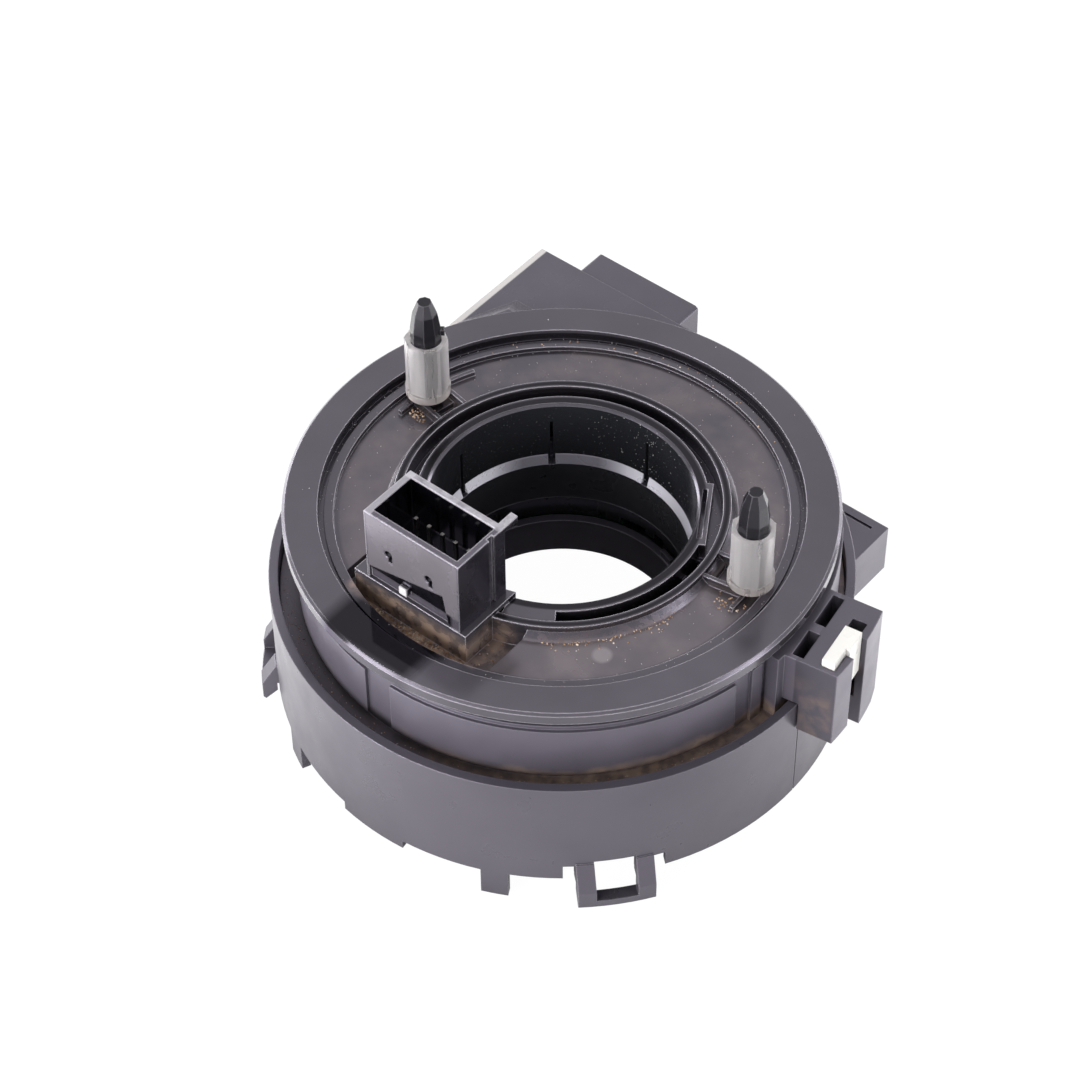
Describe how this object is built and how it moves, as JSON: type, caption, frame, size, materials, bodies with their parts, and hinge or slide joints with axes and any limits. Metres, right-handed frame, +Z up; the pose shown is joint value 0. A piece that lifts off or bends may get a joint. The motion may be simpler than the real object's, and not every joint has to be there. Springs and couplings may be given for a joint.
{
  "type": "steering clock spring",
  "caption": "Rotary ribbon-cable coupling for a steering wheel, with driver posts, two connectors, snap loops, a shipping lock and a gear-driven steering angle sensor inside.",
  "frame": {"origin": "centre of the column bore at the underside of the base cover", "axes": "+Z up the steering axis towards the steering wheel; -Y towards the side where the wheel-side connector stands; +X towards the side with the lock block"},
  "size_m": [0.1138, 0.1178, 0.0685],
  "materials": {
    "rotor_plastic": "satin moulded, dark grey",
    "housing_plastic": "satin moulded, near black",
    "milky_plastic": "see-through, slightly milky",
    "white_plastic": "satin white",
    "gear_plastic": "natural acetal",
    "clip_plastic": "satin moulded",
    "terminal_metal": "tin plated",
    "cable_film": "amber laminated film",
    "glide_film": "smooth slippery film",
    "board": "green solder mask",
    "chip": "black moulded epoxy",
    "magnet": "sintered ferrite"
  },
  "bodies": {
    "stator": {"cable_housing": "housing_plastic", "sensor_housing": "housing_plastic", "base_cover": "housing_plastic", "vehicle_connector": "housing_plastic", "vehicle_connector_pins": "terminal_metal", "flat_cable": "cable_film", "outer_cable_end": "clip_plastic", "glide_ring": "glide_film", "sensor_board": "board", "sensor_chips": "chip"},
    "rotor": {"rotor_flange": "rotor_plastic", "hub_sleeve": "rotor_plastic", "driver_post_left": "rotor_plastic", "driver_post_right": "rotor_plastic", "post_bush_left": "milky_plastic", "post_bush_right": "milky_plastic", "wheel_connector": "rotor_plastic", "wheel_connector_pins": "terminal_metal", "inner_cable_end": "clip_plastic", "drive_gear": "gear_plastic"},
    "gear_a": {"measuring_gear_a": "gear_plastic", "magnet_a": "magnet"},
    "gear_b": {"measuring_gear_b": "gear_plastic", "magnet_b": "magnet"},
    "lock": {"lock_slider": "white_plastic"}
  },
  "joints": [
    {"name": "rotor_spin", "type": "hinge", "parent": "stator", "child": "rotor", "pos_m": [0, 0, 0.02], "axis": [0, 0, 1], "range_deg": [-900, 900]},
    {"name": "gear_a_spin", "type": "hinge", "parent": "stator", "child": "gear_a", "pos_m": [-0.02616, 0.02616, 0.01], "axis": [0, 0, 1], "range_deg": [-2860, 2860]},
    {"name": "gear_b_spin", "type": "hinge", "parent": "stator", "child": "gear_b", "pos_m": [-0.038, 0, 0.01], "axis": [0, 0, 1], "range_deg": [-2575, 2575]},
    {"name": "lock_slide", "type": "slide", "parent": "stator", "child": "lock", "axis": [0, 0, -1], "range_m": [0, 0.0065]}
  ],
  "couplings": [
    {"joint": "gear_a_spin", "follows": "rotor_spin", "ratio": -3.1111},
    {"joint": "gear_b_spin", "follows": "rotor_spin", "ratio": -2.8}
  ]
}
